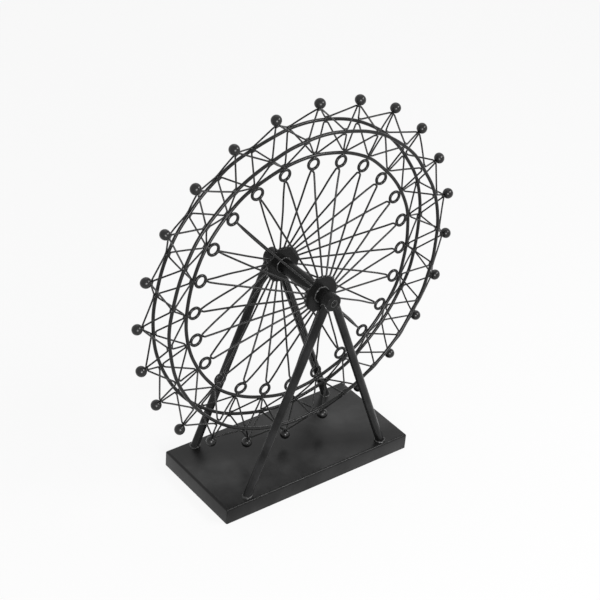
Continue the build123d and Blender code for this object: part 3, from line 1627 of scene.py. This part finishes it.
    def cope_loop(self, side: Side, hand: Hand) -> list[Vector]:
        """The line along which a leg meets its bearing.

        Args:
            side: The A-frame's side.
            hand: The leg's hand.

        Returns:
            The points of the closed line.
        """
        foot, top = self.foot(side, hand), self.leg_top(side, hand)
        along = (top - foot).normalized()
        centre = Vector((0, foot.y, self.axle_height))
        nearest = foot + along * (centre - foot).dot(along)
        aside = (nearest - centre).normalized()
        loop = []
        across, backward = aside * self.leg_radius, Vector((0, self.leg_radius, 0))
        for spot in ellipse(nearest, across, backward, self.loop_steps):
            offset = (spot - centre).dot(aside)
            loop.append(spot - along * math.sqrt(max(self.bearing_radius**2 - offset**2, 0)))
        return loop

    def make_welds(self) -> None:
        """The welds at the feet, at the bearings and around the axle's ends."""
        pairs = [(side, hand) for side in Side for hand in Hand]
        reach = self.axle_radius + self.end_weld_reach
        across, upward = Vector((reach, 0, 0)), Vector((0, 0, reach))
        end = self.frame_along + self.bearing_length / 2
        ends = [Vector((0, side.value * end, self.axle_height)) for side in Side]
        rings = [ellipse(middle, across, upward, self.loop_steps) for middle in ends]
        feet = [self.foot_loop(*pair) for pair in pairs]
        copes = [self.cope_loop(*pair) for pair in pairs]
        welds = (
            ("foot_welds", feet, self.foot_weld, 4, {"unevenness": self.foot_unevenness}),
            ("bearing_welds", copes, self.cope_weld, 5, {}),
            ("axle_welds", rings, self.end_weld, 7, {"unevenness": self.end_unevenness}),
        )
        for name, loops, radius, seed, choice in welds:
            bead = self.shop.bead(name, loops, radius, WELD_PAINT, seed, **choice)
            self.shop.hand_over(bead, Body.STAND, WELD_PAINT)

    def make(self) -> None:
        """Makes every piece of the stand."""
        self.make_base()
        for side in Side:
            for hand in Hand:
                self.make_leg(side, hand)
        self.make_axle()
        self.make_welds()


# ---- Studio --------------------------------------------------------------------------------

WHITE = (1, 1, 1, 1)
FLOOR_COLOUR = (0.9, 0.9, 0.9, 1)
FLOOR_ROUGHNESS = 0.8


@dataclass(frozen=True)
class SoftBox:
    """A round or oval lamp that faces a point of the object.

    Attributes:
        name: The lamp's name.
        azimuth: Its direction seen from the object, with 0 in front and 90 at the right.
        elevation: Its angle above the horizon.
        distance: Its distance from the point.
        width: Its level diameter.
        height: Its other diameter.
        power: Its power in watts.
    """

    name: str
    azimuth: float
    elevation: float
    distance: float
    width: float
    height: float
    power: float

    def make(self, target: Vector) -> None:
        """Hangs the lamp.

        Args:
            target: The point that it faces.
        """
        lamp = bpy.data.lights.new(self.name, "AREA")
        lamp.shape = "ELLIPSE"
        lamp.size, lamp.size_y = self.width, self.height
        lamp.energy = self.power
        around, up = math.radians(self.azimuth), math.radians(self.elevation)
        direction = Vector((
            math.sin(around) * math.cos(up), -math.cos(around) * math.cos(up), math.sin(up)
        ))
        holder = bpy.data.objects.new(self.name, lamp)
        holder.location = target + direction * self.distance
        holder.rotation_mode = "QUATERNION"
        holder.rotation_quaternion = direction.to_track_quat("Z", "Y")
        bpy.context.scene.collection.objects.link(holder)


@dataclass(frozen=True)
class PhotoCamera:
    """The camera of the photograph.

    Attributes:
        place: Where it stands.
        yaw: Its turn to the right of +Y.
        pitch: Its tilt below the horizon.
        roll: Its turn about its own line of sight.
        focal: Its focal length in pixels of the frame.
        frame: The frame's side in pixels.
        sensor: Width of the sensor in millimetres.
        clip: The nearest and the farthest distance that it sees.
    """

    place: tuple[float, float, float] = (-0.8125, -0.9889, 1.0158)
    yaw: float = math.radians(39.43)
    pitch: float = math.radians(33.11)
    roll: float = math.radians(4.64)
    focal: float = 1676.4
    frame: float = 600.0
    sensor: float = 36.0
    clip: tuple[float, float] = (0.05, 50.0)

    def make(self) -> None:
        """Sets up the scene's camera."""
        ahead = Vector((
            math.sin(self.yaw) * math.cos(self.pitch),
            math.cos(self.yaw) * math.cos(self.pitch),
            -math.sin(self.pitch),
        ))
        level = Vector((math.cos(self.yaw), -math.sin(self.yaw), 0))
        above = level.cross(ahead)
        right = math.cos(self.roll) * level + math.sin(self.roll) * above
        upward = -math.sin(self.roll) * level + math.cos(self.roll) * above
        data = bpy.data.cameras.new("photo_camera")
        data.sensor_width = self.sensor
        data.lens = self.focal / self.frame * self.sensor
        data.clip_start, data.clip_end = self.clip
        camera = bpy.data.objects.new("photo_camera", data)
        turned = Matrix((right, upward, -ahead)).transposed().to_4x4()
        camera.matrix_world = Matrix.Translation(self.place) @ turned
        bpy.context.scene.collection.objects.link(camera)
        bpy.context.scene.camera = camera


@dataclass(frozen=True)
class Studio:
    """A white floor and background, soft lamps and the camera.

    Attributes:
        lamps: The soft lamps.
        floor_side: Length of the floor's side.
        ambient: Strength of the background as a source of light.
        floor_glow: How much of the floor's whiteness is seen whatever falls on it.
    """

    lamps: tuple[SoftBox, ...] = (
        SoftBox("camera_side_box", -24.0, 16.0, 1.3, 0.62, 0.62, 11.5),
        SoftBox("front_right_box", 43.0, 40.0, 1.4, 0.75, 0.24, 9.0),
        SoftBox("ceiling_box", 140.0, 62.0, 1.8, 1.4, 1.4, 3.0),
    )
    floor_side: float = 12.0
    ambient: float = 0.34
    floor_glow: float = 0.88

    def make_world(self) -> None:
        """White to the camera and in reflections, dimmer as a source of light."""
        world = bpy.data.worlds.new("studio")
        bpy.context.scene.world = world
        tree = ShaderNodes(world)
        shown = tree.rays("Is Camera Ray", "Is Glossy Ray", "Is Transmission Ray")
        background = tree.nodes["Background"]
        background.inputs["Color"].default_value = WHITE
        strength = tree.stretch(shown, (0.0, 1.0), self.ambient, 1.0)
        tree.links.new(strength, background.inputs["Strength"])

    def make_floor(self) -> None:
        """A pale floor that takes a faint shadow."""
        half = self.floor_side / 2
        corners = [(-half, -half, 0), (half, -half, 0), (half, half, 0), (-half, half, 0)]
        data = bpy.data.meshes.new("floor")
        data.from_pydata(corners, [], [(0, 1, 2, 3)])
        floor = bpy.data.objects.new("floor", data)
        bpy.context.scene.collection.objects.link(floor)
        material = bpy.data.materials.new("pale_floor")
        tree = ShaderNodes(material)
        shader = tree.nodes["Principled BSDF"]
        shader.inputs["Base Color"].default_value = FLOOR_COLOUR
        shader.inputs["Roughness"].default_value = FLOOR_ROUGHNESS
        shader.inputs["Specular IOR Level"].default_value = 0.0
        glow = tree.nodes.new("ShaderNodeEmission")
        glow.inputs["Color"].default_value = WHITE
        seen = tree.rays("Is Camera Ray", "Is Glossy Ray")
        mixed = tree.nodes.new("ShaderNodeMixShader")
        share = tree.math("MULTIPLY", seen, self.floor_glow)
        tree.links.new(share, mixed.inputs["Fac"])
        tree.links.new(shader.outputs[0], mixed.inputs[1])
        tree.links.new(glow.outputs[0], mixed.inputs[2])
        tree.links.new(mixed.outputs[0], tree.nodes["Material Output"].inputs["Surface"])
        data.materials.append(material)
        floor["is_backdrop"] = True

    def make(self, target: Vector) -> None:
        """Sets up the whole studio.

        Args:
            target: The middle of the object.
        """
        bpy.context.scene.view_settings.view_transform = "Standard"
        self.make_world()
        self.make_floor()
        for lamp in self.lamps:
            lamp.make(target)
        PhotoCamera().make()


def main() -> None:
    """Loads the frame, makes every piece and sets up the studio."""
    logging.basicConfig(level=logging.INFO, format="%(message)s")
    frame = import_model()
    cad_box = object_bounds()
    axle_height = frame["joints"][0]["pos_m"][2]
    base_low, base_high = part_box("base")
    hub_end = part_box("hub_tube")[1].y
    flange_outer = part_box("hub_flange_back")[1].y

    shop = Workshop()
    shop.open()
    Stand(shop, base_low, base_high, axle_height).make()
    Wheel(shop, axle_height, hub_end, flange_outer).make()
    Studio().make((cad_box[0] + cad_box[1]) / 2)


if __name__ == "__main__":
    main()
